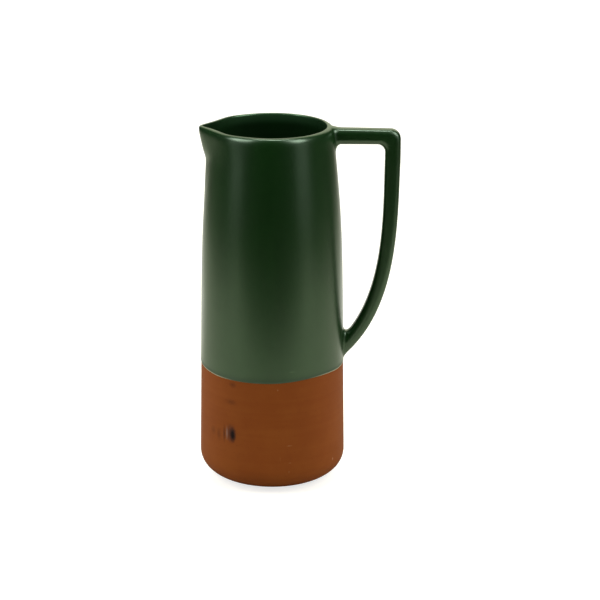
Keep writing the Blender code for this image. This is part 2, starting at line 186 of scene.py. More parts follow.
def wheel_tree():
    """Geometry nodes of the wheel: a profile is turned about Z, and the spout is pulled out of it.

    In plan the pulled wall is a circle with two tangents that meet in the nose, on the -X side. Its flanks
    swell a little past the tangents, and the rim tilts a little, up towards the front."""
    tree = bpy.data.node_groups.new("thrown_and_pulled", "GeometryNodeTree")
    tree.interface.new_socket("Profile", in_out="INPUT", socket_type="NodeSocketGeometry")
    tree.interface.new_socket("Wheel Steps", in_out="INPUT", socket_type="NodeSocketInt")
    for name in THROWN_FORM:
        tree.interface.new_socket(name, in_out="INPUT", socket_type="NodeSocketFloat")
    tree.interface.new_socket("Finish", in_out="INPUT", socket_type="NodeSocketMaterial")
    tree.interface.new_socket("Thrown Form", in_out="OUTPUT", socket_type="NodeSocketGeometry")

    def add(kind, links=(), **settings):
        node = tree.nodes.new("GeometryNode" + kind)
        for key, value in settings.items():
            setattr(node, key, value)
        for name, value in dict(links).items():
            if isinstance(value, bpy.types.NodeSocket):
                tree.links.new(value, node.inputs[name])
            else:
                node.inputs[name].default_value = value
        return node

    given = tree.nodes.new("NodeGroupInput").outputs
    count = add("AttributeDomainSize", {"Geometry": given["Profile"]}).outputs["Point Count"]
    columns = calc(tree, "ADD", given["Wheel Steps"], 1)
    blank = add("MeshGrid", {"Size X": 1.0, "Size Y": 1.0, "Vertices X": columns, "Vertices Y": count})
    cell = tree.nodes.new("ShaderNodeSeparateXYZ")
    tree.links.new(add("InputPosition").outputs[0], cell.inputs[0])
    column = calc(tree, "ROUND", calc(tree, "MULTIPLY", calc(tree, "ADD", cell.outputs["X"], 0.5),
                                      given["Wheel Steps"]))
    row = calc(tree, "ROUND", calc(tree, "MULTIPLY", calc(tree, "ADD", cell.outputs["Y"], 0.5),
                                   calc(tree, "SUBTRACT", count, 1)))
    sample = {"Geometry": given["Profile"], "Index": row}
    place = add("SampleIndex", sample, data_type="FLOAT_VECTOR")
    tree.links.new(add("InputPosition").outputs[0], place.inputs["Value"])
    depth = add("SampleIndex", sample, data_type="FLOAT")
    tree.links.new(add("InputNamedAttribute", {"Name": "wall_depth"}).outputs[0], depth.inputs["Value"])
    into_wall = depth.outputs[0]
    turned = tree.nodes.new("ShaderNodeSeparateXYZ")
    tree.links.new(place.outputs[0], turned.inputs[0])
    radius, height = turned.outputs["X"], turned.outputs["Z"]

    turn = calc(tree, "DIVIDE", calc(tree, "MULTIPLY", column, math.tau), given["Wheel Steps"])
    turn = calc(tree, "WRAP", turn, math.pi, -math.pi)
    turn = calc(tree, "SUBTRACT", turn, calc(tree, "MULTIPLY", calc(tree, "SINE", turn), given["Gather"]))
    pull = 0.0
    for stretch in ("Throat", "Fold", "Lip"):
        softness = given[stretch + " Softness"]
        rise = calc(tree, "DIVIDE", calc(tree, "SUBTRACT", height, given[stretch + " Start"]), softness)
        soft = calc(tree, "LOGARITHM", calc(tree, "ADD", calc(tree, "EXPONENT", rise), 1.0), math.e)
        slope = calc(tree, "MULTIPLY", softness, given[stretch + " Slope"])
        pull = calc(tree, "MULTIPLY_ADD", soft, slope, pull)
    pull = calc(tree, "MULTIPLY", pull, calc(tree, "MULTIPLY_ADD", into_wall, given["Spout Thinning"], 1.0))
    nose = calc(tree, "MULTIPLY_ADD", calc(tree, "SUBTRACT", given["Nose Inside"], given["Nose Outside"]),
                into_wall, given["Nose Outside"])
    off_nose = calc(tree, "SQRT", calc(tree, "ADD", calc(tree, "POWER", calc(tree, "ABSOLUTE", turn), 2.0),
                                       calc(tree, "POWER", nose, 2.0)))
    tangent = calc(tree, "ARCCOSINE", calc(tree, "DIVIDE", radius, calc(tree, "ADD", radius, pull)))
    lean = calc(tree, "MAXIMUM", calc(tree, "SUBTRACT", calc(tree, "ADD", tangent, nose), off_nose), 0.0)
    pulled = calc(tree, "DIVIDE", radius, calc(tree, "COSINE", lean))
    off_flank = calc(tree, "DIVIDE", calc(tree, "SUBTRACT", calc(tree, "ABSOLUTE", turn),
                                          given["Flank Middle"]), given["Flank Width"])
    off_flank = calc(tree, "MINIMUM", calc(tree, "ABSOLUTE", off_flank), 1.0)
    swell = calc(tree, "POWER", calc(tree, "COSINE", calc(tree, "MULTIPLY", off_flank, math.pi / 2)), 2.0)
    swell = calc(tree, "MULTIPLY", calc(tree, "MULTIPLY", swell, calc(tree, "POWER", pull, 2.0)),
                 given["Flank Fullness"])
    pulled = calc(tree, "ADD", pulled, swell)

    thrown = tree.nodes.new("ShaderNodeCombineXYZ")
    tree.links.new(calc(tree, "MULTIPLY", pulled, calc(tree, "MULTIPLY", calc(tree, "COSINE", turn), -1.0)),
                   thrown.inputs["X"])
    sideways = calc(tree, "MULTIPLY", pulled, calc(tree, "SINE", turn))
    tree.links.new(sideways, thrown.inputs["Y"])
    tilted = calc(tree, "DIVIDE", calc(tree, "SUBTRACT", height, given["Tilt Start"]),
                  calc(tree, "SUBTRACT", given["Rim Height"], given["Tilt Start"]))
    tilted = calc(tree, "MULTIPLY", calc(tree, "MAXIMUM", tilted, 0.0), given["Rim Tilt"])
    drop = calc(tree, "MULTIPLY", sideways, tilted)
    tree.links.new(calc(tree, "SUBTRACT", height, drop), thrown.inputs["Z"])
    form = blank.outputs["Mesh"]
    for name, value in (("wheel_column", column), ("profile_row", row)):
        form = add("StoreNamedAttribute", {"Geometry": form, "Name": name, "Value": value},
                   data_type="FLOAT").outputs[0]
    form = add("SetPosition", {"Geometry": form, "Position": thrown.outputs[0]}).outputs[0]
    form = add("MergeByDistance", {"Geometry": form, "Distance": SEAM_GAP}).outputs[0]
    form = add("SetShadeSmooth", {"Geometry": form}).outputs[0]
    form = add("RealizeInstances", {"Geometry": form}).outputs[0]
    form = add("SetMaterial", {"Geometry": form, "Material": given["Finish"]}).outputs[0]
    tree.links.new(form, tree.nodes.new("NodeGroupOutput").inputs[0])
    return tree


def place_piece(name, mesh):
    piece = bpy.data.objects.new(name, mesh)
    bpy.context.scene.collection.objects.link(piece)
    return piece


def finished_mesh(piece, name):
    """Plain mesh of a piece with its modifiers worked in. The piece itself is used up."""
    shape = piece.evaluated_get(bpy.context.evaluated_depsgraph_get())
    mesh = bpy.data.meshes.new_from_object(shape)
    bpy.data.objects.remove(piece)
    mesh.name = name
    return mesh


def thrown_mesh(name, profile, finish):
    """Mesh of a profile (r, z) that goes round the wheel and gets its spout."""
    outline = bpy.data.meshes.new(name + "_profile")
    outline.from_pydata([(r, 0.0, z) for r, z in profile], [(i, i + 1) for i in range(len(profile) - 1)], [])
    depth = outline.attributes.new("wall_depth", "FLOAT", "POINT")
    for point, (r, z) in zip(depth.data, profile):
        outside = wall_radius(min(z, RIM_HEIGHT))
        point.value = min(max((outside - r) / (outside - inner_radius(min(z, RIM_HEIGHT))), 0.0), 1.0)
    blank = place_piece(name + "_profile", outline)
    wheel = blank.modifiers.new("Wheel", "NODES")
    wheel.node_group = WHEEL
    settings = {"Wheel Steps": WHEEL_STEPS, "Finish": finish, **THROWN_FORM}
    for socket in WHEEL.interface.items_tree:
        if socket.name in settings:
            wheel[socket.identifier] = settings[socket.name]
    mesh = finished_mesh(blank, name)
    mesh.materials.clear()
    mesh.materials.append(finish)
    mesh.polygons.foreach_set("material_index", [0] * len(mesh.polygons))
    return mesh


def shader_group(name, inputs, outputs):
    """Empty shader node group with named inputs and outputs."""
    group = bpy.data.node_groups.new(name, "ShaderNodeTree")
    for label, kind in inputs.items():
        group.interface.new_socket(label, in_out="INPUT", socket_type="NodeSocket" + kind)
    for label, kind in outputs.items():
        group.interface.new_socket(label, in_out="OUTPUT", socket_type="NodeSocket" + kind)
    return group, group.nodes.new("NodeGroupInput").outputs, group.nodes.new("NodeGroupOutput").inputs


def texture_node(tree, kind, vector, **inputs):
    node = tree.nodes.new("ShaderNodeTex" + kind)
    tree.links.new(vector, node.inputs["Vector"])
    for label, value in inputs.items():
        node.inputs[label].default_value = value
    return node


def vector_math(tree, operation, *vectors):
    """Vector Math node in a tree. Its outputs are given by name."""
    node = tree.nodes.new("ShaderNodeVectorMath")
    node.operation = operation
    for socket, vector in zip(node.inputs, vectors):
        if isinstance(vector, bpy.types.NodeSocket):
            tree.links.new(vector, socket)
        else:
            socket.default_value = vector
    return node.outputs


def mixed(tree, factor, first, second):
    """Mix of two colours, each a socket or a plain colour."""
    node = tree.nodes.new("ShaderNodeMix")
    node.data_type = "RGBA"
    sockets = (node.inputs["Factor"], node.inputs[6], node.inputs[7])
    for socket, value in zip(sockets, (factor, first, second)):
        if isinstance(value, bpy.types.NodeSocket):
            tree.links.new(value, socket)
        elif isinstance(value, tuple):
            socket.default_value = (*value, 1.0)
        else:
            socket.default_value = value
    return node.outputs[2]


def ramped(tree, value, low, high):
    """A value brought from low..high to a smooth 0..1."""
    node = tree.nodes.new("ShaderNodeMapRange")
    node.interpolation_type = "SMOOTHSTEP"
    node.inputs["From Min"].default_value = low
    node.inputs["From Max"].default_value = high
    tree.links.new(value, node.inputs["Value"])
    return node.outputs["Result"]


BAND_STRETCH = (6.0, 6.0, 260.0)
BAND_SHARE = 0.35
BAND_RELIEF = 1.6
GRAIN_RELIEF = 0.5
DUST_RANGE = (0.36, 0.68)
SPECK_RANGE = (0.16, 0.08)
SPECK_STRENGTH = 0.35
CLAY_ROUGHNESS = 0.58
CLAY_UNEVENNESS = 0.16
CLAY_SPECULAR = 0.12
CLAY_BUMP = (0.00012, 0.5)


def clay_grain_group():
    """Fired earthenware: faint bands of the throwing, cloudy tone, sand grain and specks."""
    group, given, out = shader_group(
        "clay_grain", {"Vector": "Vector", "Clay": "Color", "Dusty": "Color", "Speck": "Color"},
        {"Color": "Color", "Height": "Float", "Roughness": "Float"})
    stretched = vector_math(group, "MULTIPLY", given["Vector"], BAND_STRETCH)["Vector"]
    bands = texture_node(group, "Noise", stretched, Scale=1.0, Detail=3.0)
    cloud = texture_node(group, "Noise", given["Vector"], Scale=38.0, Detail=4.0, Roughness=0.6)
    grain = texture_node(group, "Noise", given["Vector"], Scale=1900.0, Detail=2.0)
    specks = texture_node(group, "Voronoi", given["Vector"], Scale=420.0)
    tone = calc(group, "ADD", calc(group, "MULTIPLY", bands.outputs["Fac"], BAND_SHARE),
                calc(group, "MULTIPLY", cloud.outputs["Fac"], 1.0 - BAND_SHARE))
    colour = mixed(group, ramped(group, tone, *DUST_RANGE), given["Clay"], given["Dusty"])
    near_speck = ramped(group, specks.outputs["Distance"], *SPECK_RANGE)
    dot = calc(group, "MULTIPLY", near_speck, SPECK_STRENGTH)
    group.links.new(mixed(group, dot, colour, given["Speck"]), out["Color"])
    height = calc(group, "ADD", calc(group, "MULTIPLY", grain.outputs["Fac"], GRAIN_RELIEF),
                  calc(group, "MULTIPLY", bands.outputs["Fac"], BAND_RELIEF))
    group.links.new(height, out["Height"])
    roughness = calc(group, "MULTIPLY_ADD", cloud.outputs["Fac"], CLAY_UNEVENNESS, CLAY_ROUGHNESS)
    group.links.new(roughness, out["Roughness"])
    return group


def mark_group():
    """One mark on the wall: an oval patch with a soft, ragged edge, on one side of the vessel only."""
    group, given, out = shader_group(
        "handling_mark",
        {"Vector": "Vector", "Centre": "Vector", "Across": "Vector", "Half Width": "Float",
         "Half Height": "Float", "Softness": "Float", "Raggedness": "Float"},
        {"Mask": "Float"})
    offset = vector_math(group, "SUBTRACT", given["Vector"], given["Centre"])["Vector"]
    across = vector_math(group, "DOT_PRODUCT", offset, given["Across"])["Value"]
    parts = group.nodes.new("ShaderNodeSeparateXYZ")
    group.links.new(offset, parts.inputs[0])
    oval = group.nodes.new("ShaderNodeCombineXYZ")
    group.links.new(calc(group, "DIVIDE", across, given["Half Width"]), oval.inputs["X"])
    group.links.new(calc(group, "DIVIDE", parts.outputs["Z"], given["Half Height"]), oval.inputs["Y"])
    ragged = texture_node(group, "Noise", given["Vector"], Scale=900.0, Detail=3.0)
    uneven = calc(group, "SUBTRACT", ragged.outputs["Fac"], 0.5)
    wander = calc(group, "MULTIPLY", uneven, given["Raggedness"])
    reach = calc(group, "ADD", vector_math(group, "LENGTH", oval.outputs[0])["Value"], wander)
    near = calc(group, "DIVIDE", calc(group, "SUBTRACT", 1.0, reach), given["Softness"])
    patch = calc(group, "MINIMUM", calc(group, "MAXIMUM", near, 0.0), 1.0)
    outward = vector_math(group, "CROSS_PRODUCT", given["Across"], (0.0, 0.0, 1.0))["Vector"]
    facing = vector_math(group, "DOT_PRODUCT", given["Vector"], outward)["Value"]
    group.links.new(calc(group, "MULTIPLY", patch, calc(group, "GREATER_THAN", facing, 0.0)), out["Mask"])
    return group


def use_group(tree, group, vector, **values):
    """A group placed in a material, reading a vector, with its own values."""
    node = tree.nodes.new("ShaderNodeGroup")
    node.node_tree = group
    tree.links.new(vector, node.inputs["Vector"])
    for label, value in values.items():
        socket = node.inputs[label.replace("_", " ")]
        socket.default_value = (*value, 1.0) if socket.type == "RGBA" else value
    return node.outputs


def new_finish(name):
    """Material with its tree, its shader and its Object coordinates."""
    material = bpy.data.materials.new(name)
    material.use_nodes = True
    tree = material.node_tree
    coordinates = tree.nodes.new("ShaderNodeTexCoord").outputs["Object"]
    return material, tree, tree.nodes["Principled BSDF"], coordinates


def add_bump(tree, shader, height, distance, strength):
    bump = tree.nodes.new("ShaderNodeBump")
    bump.inputs["Distance"].default_value = distance
    bump.inputs["Strength"].default_value = strength
    tree.links.new(height, bump.inputs["Height"])
    tree.links.new(bump.outputs["Normal"], shader.inputs["Normal"])


def mark_mask(tree, coordinates, angle, height, width, tall, softness, raggedness):
    """Mask of a mark on the wall, at an angle from the front and a height, with its own width and height."""
    turn = math.radians(angle)
    radius = wall_radius(height)
    return use_group(
        tree, MARK, coordinates, Centre=(radius * math.sin(turn), -radius * math.cos(turn), height),
        Across=(math.cos(turn), math.sin(turn), 0.0), Half_Width=width / 2, Half_Height=tall / 2,
        Softness=softness, Raggedness=raggedness)["Mask"]


def clay_finish(name, clay, dusty, speck):
    material, tree, shader, coordinates = new_finish(name)
    grain = use_group(tree, CLAY_GRAIN, coordinates, Clay=clay, Dusty=dusty, Speck=speck)
    tree.links.new(grain["Color"], shader.inputs["Base Color"])
    tree.links.new(grain["Roughness"], shader.inputs["Roughness"])
    shader.inputs["Specular IOR Level"].default_value = CLAY_SPECULAR
    add_bump(tree, shader, grain["Height"], *CLAY_BUMP)
    return material, tree, shader, coordinates, grain["Color"]


TERRACOTTA = ((0.224, 0.054, 0.0070), (0.245, 0.064, 0.0095), (0.120, 0.033, 0.006))
SOOT = (0.010, 0.004, 0.004)
HAZE = (0.060, 0.026, 0.022)
SMEAR = (0.075, 0.022, 0.006)
GREY = (0.26, 0.14, 0.10)
PALE = (0.42, 0.20, 0.10)
# Each mark: angle from the front in degrees, height, width, how tall, softness, raggedness, stain, strength.
CLAY_MARKS = (
    ("haze round the kiln kiss", -34.0, 0.0428, 0.0100, 0.0150, 0.7, 0.4, HAZE, 0.75),
    ("kiln kiss", -32.2, 0.0420, 0.0058, 0.0128, 0.7, 0.4, SOOT, 1.0),
    ("grey streak beside it", -38.0, 0.0425, 0.0026, 0.0115, 0.8, 0.5, GREY, 0.75),
    ("smear beside it", -40.6, 0.0415, 0.0026, 0.0150, 0.9, 0.5, SOOT, 0.6),
    ("smear to its left", -46.6, 0.0400, 0.0055, 0.0110, 1.0, 0.5, SMEAR, 0.45),
    ("red blotch", -53.7, 0.0410, 0.0070, 0.0080, 1.0, 0.5, SMEAR, 0.35),
    ("smudge under the glaze", -32.5, 0.0782, 0.0070, 0.0050, 1.0, 0.9, SMEAR, 0.6),
    ("smudge lower down", -34.0, 0.0655, 0.0110, 0.0052, 1.0, 0.9, SMEAR, 0.45),
    ("chip by the glaze", 5.0, 0.0770, 0.0012, 0.0016, 0.7, 0.8, PALE, 0.5),
    ("rub", 14.0, 0.0365, 0.0048, 0.0006, 0.8, 0.9, PALE, 0.75),
    ("rub lower down", 14.5, 0.0240, 0.0030, 0.0006, 0.8, 0.9, PALE, 0.5),
    ("rub on the foot", 13.8, 0.0175, 0.0010, 0.0018, 0.8, 0.9, PALE, 0.4),
    ("faint scrape", 6.8, 0.0275, 0.0008, 0.0040, 1.0, 0.9, PALE, 0.15),
    ("chip on the right", 56.8, 0.0190, 0.0016, 0.0028, 0.7, 0.8, PALE, 0.7),
)


def terracotta_finish():
    """Bare red clay with its marks: a dark kiln kiss and smudges on the left, pale rubs and chips."""
    material, tree, shader, coordinates, colour = clay_finish("bare_terracotta", *TERRACOTTA)
    for _, angle, height, width, tall, softness, raggedness, stain, strength in CLAY_MARKS:
        mask = mark_mask(tree, coordinates, angle, height, width, tall, softness, raggedness)
        colour = mixed(tree, calc(tree, "MULTIPLY", mask, strength), colour, stain)
    tree.links.new(colour, shader.inputs["Base Color"])
    return material


def vessel_line():
    """Profile of the clay, from the axis on the floor up, over the rim, down and under to the axis."""
    inside = inner_line(0.0)[::-1]
    wall = [(wall_radius(z), z) for z in np.linspace(RIM_HEIGHT - RIM_DROP, FOOT_HEIGHT, WALL_ROWS)]
    centre = (BASE_RADIUS - FOOT_WIDTH, FOOT_HEIGHT)
    foot = rounded(centre, (FOOT_WIDTH, FOOT_HEIGHT), 0, -90, FOOT_STEPS, FOOT_FULLNESS)
    under = [(foot[-1][0] * share, 0.0) for share in TO_AXIS]
    return inside + rim_round(0.0, RIM_STEPS)[1:] + wall[1:] + foot[1:] + under


WHEEL = wheel_tree()
CLAY_GRAIN = clay_grain_group()
MARK = mark_group()
vessel_mesh = thrown_mesh("clay_vessel", vessel_line(), terracotta_finish())
vessel = place_piece("clay_vessel", vessel_mesh)
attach(vessel, "root")
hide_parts("vessel_body")


# The handle is a strap of the same clay, rolled, squared and bent to a D while soft. Its ends are cut to
# the curve of the wall and luted to it. The glaze goes over all of it, so its sizes are those of the skin.
COAT = 0.00025
HANDLE_BACK = coat_high.x
HANDLE_WIDTH = 0.0104
HANDLE_EDGES = (0.0039, 0.0031)
BAR_TOP = 0.24735
BAR_TOP_AT = 0.050
BAR_FALL = 0.019
BAR_UNDER = 0.23665
FINGER_BEND = 0.0055
BACK_BEND = 0.0068
ARM_THICKNESS = 0.0106
ARM_FOOT_THICKNESS = 0.0094
ARM_TOP = 0.2265
ARM_TOP_LEAN = math.radians(1.9)
ARM_TOP_PULL = 0.041
ARM_FOOT_HEIGHT = 0.0882
ARM_FOOT_ANGLE = math.radians(40.4)
ARM_FOOT_PULL = 0.051
LUTING_PAD = 0.0007
CORNER_TURNS = (45, 60, 75, 90)
SIDE_STEPS = (10, 4, 10, 4)
BAR_RINGS = 50
BEND_RINGS = 14
ARM_RINGS = 120
STEPS_TO_BEND = 8
STEPS_TO_ARM = 6
STRAP_RINGS = 160
FINE_WALL_ROWS = 900
FINE_RIM_ROWS = 90
HANDLE_CLAY = ((0.185, 0.044, 0.0095), (0.215, 0.060, 0.016), (0.075, 0.022, 0.008))


def section_ring():
    """Round-cornered section of the handle, from the middle of its back corner on the +Y side.

    Each row is the corner's place and the outward direction, both as (towards the back, sideways)."""
    corners = ((1, 1), (-1, 1), (-1, -1), (1, -1))
    rows = []
    for quarter, steps in enumerate(SIDE_STEPS):
        here, there = np.array(corners[quarter]), np.array(corners[(quarter + 1) % 4])
        spots = [(here, turn) for turn in CORNER_TURNS]
        spots += [(here + (there - here) * step / steps, 90) for step in range(1, steps)]
        spots += [(there, turn + 45) for turn in CORNER_TURNS[:-1]]
        for spot, turn in spots:
            angle = math.radians(90 * quarter + turn)
            rows.append((*spot, math.cos(angle), math.sin(angle)))
    return np.array(rows)


def between(start, end, steps):
    """Rows of points from one to another, without the two."""
    shares = np.linspace(0.0, 1.0, steps + 1)[1:-1, None]
    return start + (end - start) * shares


def arm_sides():
    """Finger side and back of the arm, from under the corner to inside the lower wall."""
    start = np.array((HANDLE_BACK - ARM_THICKNESS / 2, ARM_TOP))
    end = np.array((inner_radius(ARM_FOOT_HEIGHT), ARM_FOOT_HEIGHT))
    down = np.array((-math.sin(ARM_TOP_LEAN), -math.cos(ARM_TOP_LEAN)))
    rise = np.array((math.cos(ARM_FOOT_ANGLE), math.sin(ARM_FOOT_ANGLE)))
    shares = np.linspace(0.0, 1.0, ARM_RINGS)
    middle = bezier((start, start + down * ARM_TOP_PULL, end + rise * ARM_FOOT_PULL, end), shares)
    along = np.gradient(middle, axis=0)
    along /= np.linalg.norm(along, axis=1)[:, None]
    towards_back = np.stack((-along[:, 1], along[:, 0]), 1)
    half = (ARM_THICKNESS + (ARM_FOOT_THICKNESS - ARM_THICKNESS) * shares)[:, None] / 2
    return middle - towards_back * half, middle + towards_back * half


def handle_sides():
    """Finger side and back of the handle as points (x, z), from inside the upper wall to the lower one."""
    finger_side = HANDLE_BACK - ARM_THICKNESS
    bar = np.linspace(inner_radius(BAR_UNDER), finger_side - FINGER_BEND - ARM_THICKNESS / 2, BAR_RINGS)
    bar_top = BAR_TOP - BAR_FALL * (bar - BAR_TOP_AT)
    bar_finger = np.stack((bar, np.full(len(bar), BAR_UNDER)), 1)
    bar_back = np.stack((bar, bar_top), 1)
    turns = np.radians(np.linspace(90, 0, BEND_RINGS))
    arc = np.stack((np.cos(turns), np.sin(turns)), 1)
    corner_top = BAR_TOP - BAR_FALL * (HANDLE_BACK - BACK_BEND - BAR_TOP_AT)
    bend_finger = np.array((finger_side, BAR_UNDER)) + FINGER_BEND * (arc - 1.0)
    bend_back = np.array((HANDLE_BACK, corner_top)) + BACK_BEND * (arc - 1.0)
    arm_finger, arm_back = arm_sides()
    finger = (bar_finger, between(bar_finger[-1], bend_finger[0], STEPS_TO_BEND), bend_finger,
              between(bend_finger[-1], arm_finger[0], STEPS_TO_ARM), arm_finger)
    back = (bar_back, between(bar_back[-1], bend_back[0], STEPS_TO_BEND), bend_back,
            between(bend_back[-1], arm_back[0], STEPS_TO_ARM), arm_back)
    return np.concatenate(finger), np.concatenate(back)


def handle_lines(inset):
    """Points of the handle's surface: a ring at each cross-section, moved in by an inset."""
    finger, back = handle_sides()
    spot_back, spot_side, out_back, out_side = RING.T
    thickness = np.minimum(np.linalg.norm(back - finger, axis=1), max(BAR_TOP - BAR_UNDER, ARM_THICKNESS))
    along, across = HANDLE_EDGES
    reach = spot_back * (thickness[:, None] / 2 - along) + out_back * (along - inset)
    skew = (back - finger) / thickness[:, None]
    flat = (finger + back)[:, None, :] / 2 + skew[:, None, :] * reach[:, :, None]
    side = spot_side * (HANDLE_WIDTH / 2 - across) + out_side * (across - inset)
    return np.stack((flat[..., 0], np.broadcast_to(side, flat.shape[:2]), flat[..., 1]), 2)


def run_lengths(lines):
    """Distance gone along each line of the handle, at each ring."""
    steps = np.linalg.norm(np.diff(lines, axis=0), axis=2)
    return np.concatenate((np.zeros((1, lines.shape[1])), np.cumsum(steps, 0)))


def along_lines(lines, far):
    """Rings of points at given distances (rings, lines) along the lines."""
    gone = run_lengths(lines)
    rings = np.empty((*far.shape, 3))
    for line in range(lines.shape[1]):
        for axis in range(3):
            rings[:, line, axis] = np.interp(far[:, line], gone[:, line], lines[:, line, axis])
    return rings


def wall_line(coat):
    """Fine profile of the wall under a coat, from the crest down, with the distance from the crest."""
    heights = np.linspace(RIM_HEIGHT - RIM_DROP, FOOT_HEIGHT, FINE_WALL_ROWS)
    wall = [(wall_radius(z) + coat, z) for z in heights]
    profile = np.array(rim_round(coat, FINE_RIM_ROWS)[:-1] + wall)
    steps = np.linalg.norm(np.diff(profile, axis=0), axis=1)
    return profile[:, 0], profile[:, 1], np.concatenate(((0.0,), np.cumsum(steps)))


def wall_meeting(lines, coat):
    """Distance along each line at which it comes out of the wall."""
    radius, height, _ = wall_line(coat)
    wall = np.interp(lines[..., 2], height[::-1], radius[::-1])
    off = np.hypot(lines[..., 0], lines[..., 1]) - wall
    out = np.argmax(off > 0.0, axis=0)
    gone = run_lengths(lines)
    each = np.arange(lines.shape[1])
    share = off[out - 1, each] / (off[out - 1, each] - off[out, each])
    return gone[out - 1, each] + share * (gone[out, each] - gone[out - 1, each])


def bridge(form, rings):
    """Faces between rings of vertices, pointing out of the handle when the rings go down it."""
    for near, far in zip(rings, rings[1:]):
        for i in range(len(near)):
            j = (i + 1) % len(near)
            form.faces.new((near[i], far[i], far[j], near[j]))


def closed_loft(name, rings, start, end, finish):
    """Closed mesh through rings of points, with a point in the middle of each end."""
    form = bmesh.new()
    loops = [[form.verts.new(point) for point in ring] for ring in rings]
    bridge(form, loops)
    for loop, middle in ((loops[0], start), (loops[-1], end)):
        tip = form.verts.new(middle)
        for i in range(len(loop)):
            form.faces.new((loop[i], loop[(i + 1) % len(loop)], tip))
    bmesh.ops.recalc_face_normals(form, faces=form.faces)
    mesh = bpy.data.meshes.new(name)
    form.to_mesh(mesh)
    form.free()
    mesh.shade_smooth()
    mesh.materials.append(finish)
    return mesh


def clay_strap():
    """Rings of the clay handle, from one luted end to the other."""
    lines = handle_lines(COAT)
    first = wall_meeting(lines, 0.0) + LUTING_PAD
    last = run_lengths(lines)[-1] - wall_meeting(lines[::-1], 0.0) - LUTING_PAD
    return along_lines(lines, first + (last - first) * np.linspace(0.0, 1.0, STRAP_RINGS)[:, None])


RING = section_ring()
strap = clay_strap()
handle_clay = clay_finish("handle_terracotta", *HANDLE_CLAY)[0]
handle_mesh = closed_loft("clay_handle", strap, strap[0].mean(0), strap[-1].mean(0), handle_clay)
handle = place_piece("clay_handle", handle_mesh)
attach(handle, "root")
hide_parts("handle")


# The slip is liquid clay that lutes each end of the handle to the wall. It is squeezed out around the
# joint and smoothed with a sponge to a small fillet. It fires into one with the clay, under the glaze.
JOINTS = {
    "upper": {"lines": slice(None), "back": -1, "back_round": 0.0028, "finger_round": 0.0075,
              "side_round": 0.0026, "back_length": 0.0068, "finger_length": 0.0042, "side_length": 0.0030},
    "lower": {"lines": slice(None, None, -1), "back": 1, "back_round": 0.0021, "finger_round": 0.0085,
              "side_round": 0.0020, "back_length": 0.0063, "finger_length": 0.0085, "side_length": 0.0028},
}
CREST_MARGIN = 0.0009
ROUND_FULLNESS = 0.56
SLIP_SHARE = 0.86
FILLET_RINGS = 11
SLIP_CLAY = ((0.205, 0.056, 0.014), (0.245, 0.075, 0.024), (0.11, 0.035, 0.013))


def on_wall(turn, drop, coat):
    """Points of the wall at an angle from the handle and a distance down from the crest."""
    radius, height, gone = wall_line(coat)
    r = np.interp(drop, gone, radius)
    return np.stack((r * np.cos(turn), r * np.sin(turn), np.interp(drop, gone, height)), -1)


def fillet_start(lines, joint, coat, share):
    """Distance along each line at which its fillet begins, counted from inside the wall."""
    out_back, out_side = RING[:, 2], RING[:, 3]
    back_length = np.where(out_back > 0.0, joint["back_length"], joint["finger_length"])
    length = back_length * out_back ** 2 + joint["side_length"] * out_side ** 2
    return wall_meeting(lines, coat) + share * length


def joint_fillet(lines, joint, coat, share):
    """Fillet at one end of the handle, as rings from the handle to the wall, and where it lands there.

    The landing is given as angles and distances down from the crest. The share makes it smaller."""
    out_back, out_side = RING[:, 2], RING[:, 3]
    back_round = share * np.where(out_back > 0.0, joint["back_round"], joint["finger_round"])
    corner = along_lines(lines, wall_meeting(lines, coat)[None])[0]
    start = along_lines(lines, fillet_start(lines, joint, coat, share)[None])[0]
    _, height, gone = wall_line(coat)
    drop = np.interp(corner[:, 2], height[::-1], gone[::-1]) + joint["back"] * back_round * out_back
    drop = np.maximum(drop, CREST_MARGIN)
    reach = np.hypot(corner[:, 0], corner[:, 1])
    turn = np.arctan2(corner[:, 1], corner[:, 0]) + share * joint["side_round"] * out_side / reach
    landing = on_wall(turn, drop, coat)
    down = on_wall(turn, drop + COAT, coat) - landing
    down /= np.linalg.norm(down, axis=1)[:, None]
    level = np.stack((-np.sin(turn), np.cos(turn), np.zeros(len(turn))), 1)
    inward = corner - landing
    tangent = down * (inward * down).sum(1)[:, None] + level * (inward * level).sum(1)[:, None]
    tangent *= (np.linalg.norm(inward, axis=1) / np.linalg.norm(tangent, axis=1))[:, None]
    control = (start, start + ROUND_FULLNESS * (corner - start), landing + ROUND_FULLNESS * tangent, landing)
    return bezier(control, np.linspace(0.0, 1.0, FILLET_RINGS)), turn, drop


def slip_mesh(name, joint, finish):
    """Closed pad: from the seat of the handle's end out along the fillet and back under it on the wall."""
    lines = handle_lines(COAT)[joint["lines"]]
    fillet, turn, drop = joint_fillet(lines, joint, 0.0, SLIP_SHARE)
    seat = along_lines(lines, (wall_meeting(lines, 0.0) + LUTING_PAD - COAT)[None])
    under = on_wall((turn + turn.mean()) / 2, (drop + drop.mean()) / 2, 0.0)[None]
    middle = on_wall(turn.mean(), drop.mean(), 0.0)
    return closed_loft(name, np.concatenate((seat, fillet, under)), seat[0].mean(0), middle, finish)


slip_finish = clay_finish("luting_slip", *SLIP_CLAY)[0]
for end, joint in JOINTS.items():
    slip = place_piece(end + "_slip", slip_mesh(end + "_slip", joint, slip_finish))
    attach(slip, "root")
    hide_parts(end + "_joint_slip")


